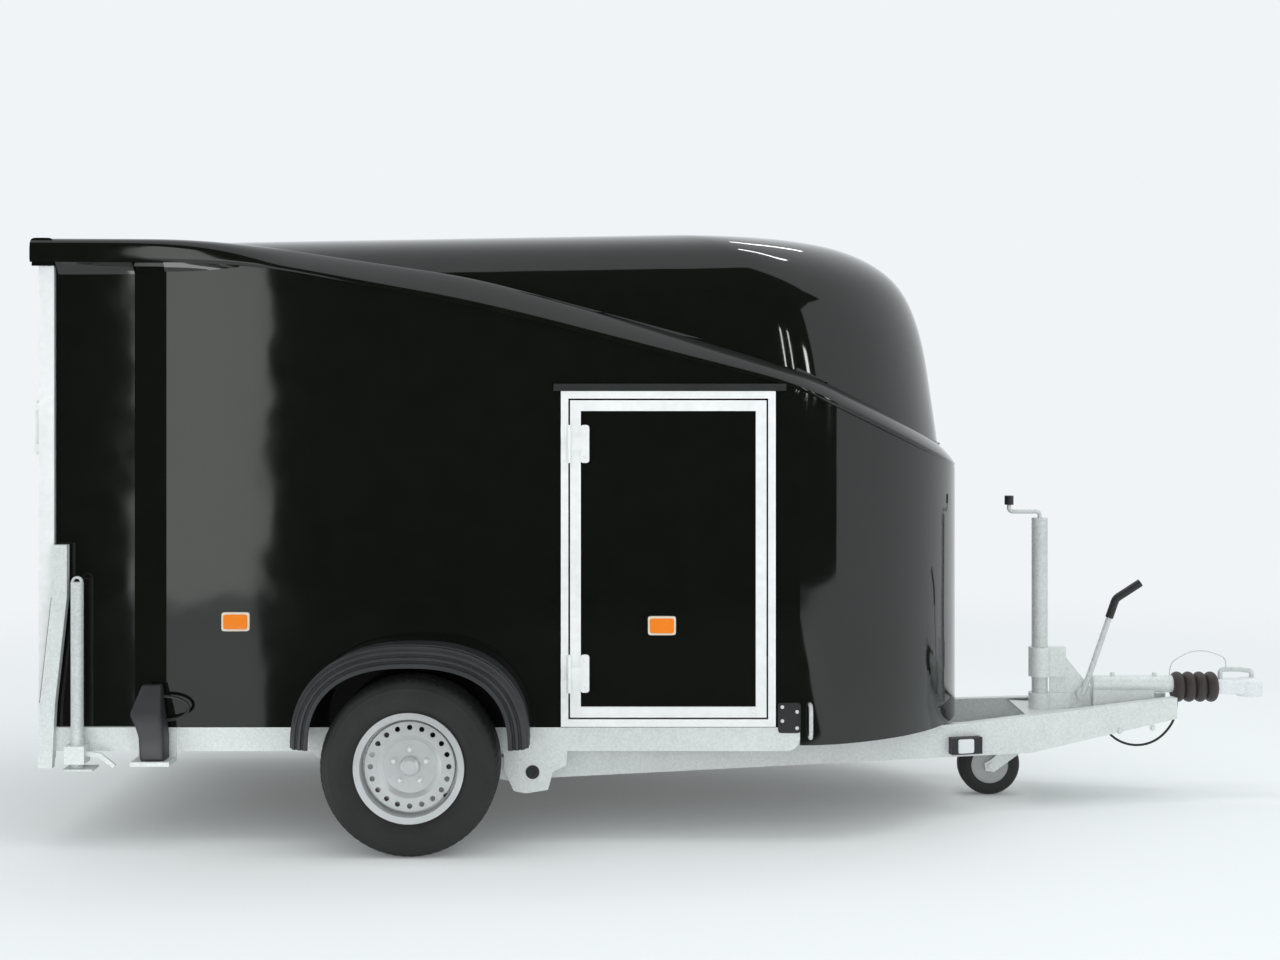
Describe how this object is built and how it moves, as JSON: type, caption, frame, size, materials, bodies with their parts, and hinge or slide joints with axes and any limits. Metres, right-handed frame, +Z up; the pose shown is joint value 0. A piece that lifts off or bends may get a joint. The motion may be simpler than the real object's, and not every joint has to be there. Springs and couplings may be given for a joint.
{
  "type": "enclosed cargo trailer",
  "caption": "Enclosed box trailer with a glossy bow-nosed body, swage ledge, side door, rear ramp, outboard wheels under fenders, drawbar and jockey wheel.",
  "frame": {"origin": "on the floor below the middle of the whole length and width", "axes": "+X forward to the coupling, +Y left, +Z up"},
  "size_m": [4.417, 2, 2.0972],
  "materials": {
    "galvanised": "zinc coated, matt",
    "deck_board": "film-faced board",
    "black_rubber": "matt",
    "black_plastic": "matt",
    "black_gelcoat": "high gloss",
    "bright_aluminium": "anodised satin",
    "dark_plastic": "grained",
    "amber_lens": "moulded lens",
    "clear_lens": "moulded lens",
    "red_lens": "moulded lens",
    "tyre_rubber": "matt",
    "wheel_paint": "silver paint",
    "cast_drum": "as cast",
    "cable_black": "matt",
    "steel_wire": "stranded"
  },
  "bodies": {
    "trailer": {"side_rails": "galvanised", "cross_members": "galvanised", "floor_deck": "deck_board", "drawbar_arms": "galvanised", "drawbar_plate": "galvanised", "overrun_housing": "galvanised", "bellows": "black_rubber", "coupling_head": "galvanised", "coupling_handle": "black_plastic", "handbrake_lever": "galvanised", "handbrake_grip": "black_plastic", "jockey_bracket": "galvanised", "jockey_tube": "galvanised", "jockey_crank": "galvanised", "crank_knob": "black_plastic", "side_panel_right": "black_gelcoat", "side_panel_left": "black_gelcoat", "nose_shell": "black_gelcoat", "body_ledge": "black_gelcoat", "roof_shell": "black_gelcoat", "door_frame": "bright_aluminium", "drip_strip": "black_rubber", "fenders": "dark_plastic", "suspension_arms": "galvanised", "suspension_brackets": "galvanised", "side_markers": "amber_lens", "front_lamps": "clear_lens", "tail_lamps": "red_lens", "wheel_chock": "black_plastic", "chock_holder": "galvanised", "grab_handles": "galvanised", "prop_clamps": "galvanised", "ramp_posts": "galvanised", "electric_cable": "cable_black", "cable_plug": "black_plastic", "breakaway_cable": "steel_wire"},
    "wheel_right": {"tyre_right": "tyre_rubber", "rim_right": "wheel_paint", "hub_right": "cast_drum"},
    "wheel_left": {"tyre_left": "tyre_rubber", "rim_left": "wheel_paint", "hub_left": "cast_drum"},
    "jockey_swivel": {"jockey_fork": "galvanised"},
    "jockey_wheel": {"jockey_tyre": "tyre_rubber", "jockey_rim": "wheel_paint"},
    "side_door": {"door_leaf": "bright_aluminium", "door_panel": "black_gelcoat", "door_hinges": "bright_aluminium", "door_marker": "amber_lens"},
    "rear_ramp": {"ramp_frame": "bright_aluminium", "ramp_panel": "deck_board", "ramp_latches": "galvanised"},
    "prop_stand_right": {"prop_right": "galvanised"},
    "prop_stand_left": {"prop_left": "galvanised"}
  },
  "joints": [
    {"name": "wheel_right_spin", "type": "hinge", "parent": "trailer", "child": "wheel_right", "pos_m": [-0.9065, -0.8925, 0.2945], "axis": [0, 1, 0], "continuous": true},
    {"name": "wheel_left_spin", "type": "hinge", "parent": "trailer", "child": "wheel_left", "pos_m": [-0.9065, 0.8925, 0.2945], "axis": [0, 1, 0], "continuous": true},
    {"name": "jockey_swivel_turn", "type": "hinge", "parent": "trailer", "child": "jockey_swivel", "pos_m": [1.3655, 0, 0.3], "axis": [0, 0, 1], "range_deg": [-30, 30]},
    {"name": "jockey_wheel_spin", "type": "hinge", "parent": "jockey_swivel", "child": "jockey_wheel", "pos_m": [1.1695, 0, 0.1155], "axis": [0, 1, 0], "continuous": true},
    {"name": "side_door_hinge", "type": "hinge", "parent": "trailer", "child": "side_door", "pos_m": [-0.3885, -0.787, 0.96], "axis": [0, 0, -1], "range_deg": [0, 110]},
    {"name": "rear_ramp_hinge", "type": "hinge", "parent": "trailer", "child": "rear_ramp", "pos_m": [-2.1535, 0, 0.29], "axis": [0, -1, 0], "range_deg": [0, 98.5]},
    {"name": "prop_right_slide", "type": "slide", "parent": "trailer", "child": "prop_stand_right", "axis": [0, 0, -1], "range_m": [0, 0.25]},
    {"name": "prop_left_slide", "type": "slide", "parent": "trailer", "child": "prop_stand_left", "axis": [0, 0, -1], "range_m": [0, 0.25]}
  ]
}
